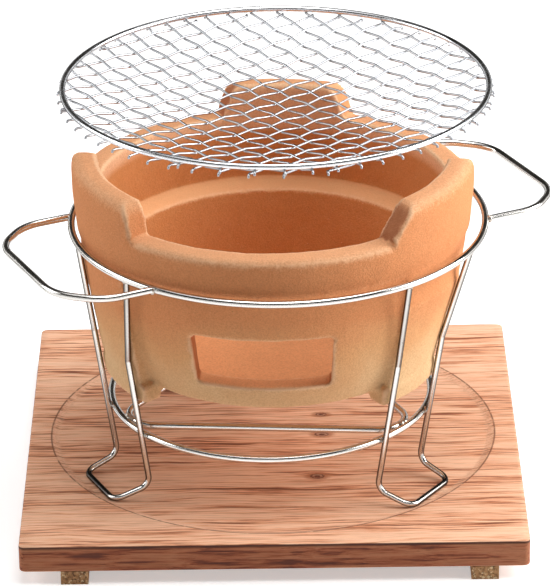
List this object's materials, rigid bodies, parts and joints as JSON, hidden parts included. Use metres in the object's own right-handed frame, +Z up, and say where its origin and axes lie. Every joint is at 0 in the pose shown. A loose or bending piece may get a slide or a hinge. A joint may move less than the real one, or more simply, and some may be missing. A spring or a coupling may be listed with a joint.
{
  "type": "charcoal brazier",
  "caption": "Table-top charcoal brazier: terracotta bowl with a draft hole in a wire stand on a wooden board, with a woven wire net lifted off above it.",
  "frame": {"origin": "on the standing surface, under the middle of the whole object's footprint: midway between the handles' outer bars from left to right, and midway between the net's front and the board's back", "axes": "+Z up, -Y towards the side with the draft hole, +X to the right seen from there, square to the board"},
  "size_m": [0.2738, 0.2527, 0.2217],
  "materials": {
    "board_wood": "sawn softwood, pinkish tan with wavy brown grain",
    "batten_wood": "rough sawn softwood with pale end grain",
    "nail_steel": "plain steel",
    "stand_wire": "bright chrome plate",
    "terracotta": "unglazed, gritty, orange fading to straw at the bottom",
    "net_wire": "bright zinc plate"
  },
  "bodies": {
    "base": {"board": "board_wood", "batten_left": "batten_wood", "batten_right": "batten_wood", "batten_nails": "nail_steel"},
    "stand": {"top_ring": "stand_wire", "lower_ring": "stand_wire", "support_triangle": "stand_wire", "leg_front_left": "stand_wire", "leg_front_right": "stand_wire", "leg_back": "stand_wire", "handle_left": "stand_wire", "handle_right": "stand_wire"},
    "bowl_body": {"bowl": "terracotta"},
    "net": {"net_hoop": "net_wire", "net_wires_a": "net_wire", "net_wires_b": "net_wire"}
  },
  "joints": [
    {"name": "stand_lift", "type": "slide", "parent": "base", "child": "stand", "axis": [0, 0, 1], "range_m": [0, 0.05]},
    {"name": "bowl_lift", "type": "slide", "parent": "stand", "child": "bowl_body", "axis": [0, 0, 1], "range_m": [0, 0.12]},
    {"name": "net_lift", "type": "slide", "parent": "bowl_body", "child": "net", "axis": [0, 0, 1], "range_m": [-0.0274, 0.06]}
  ]
}
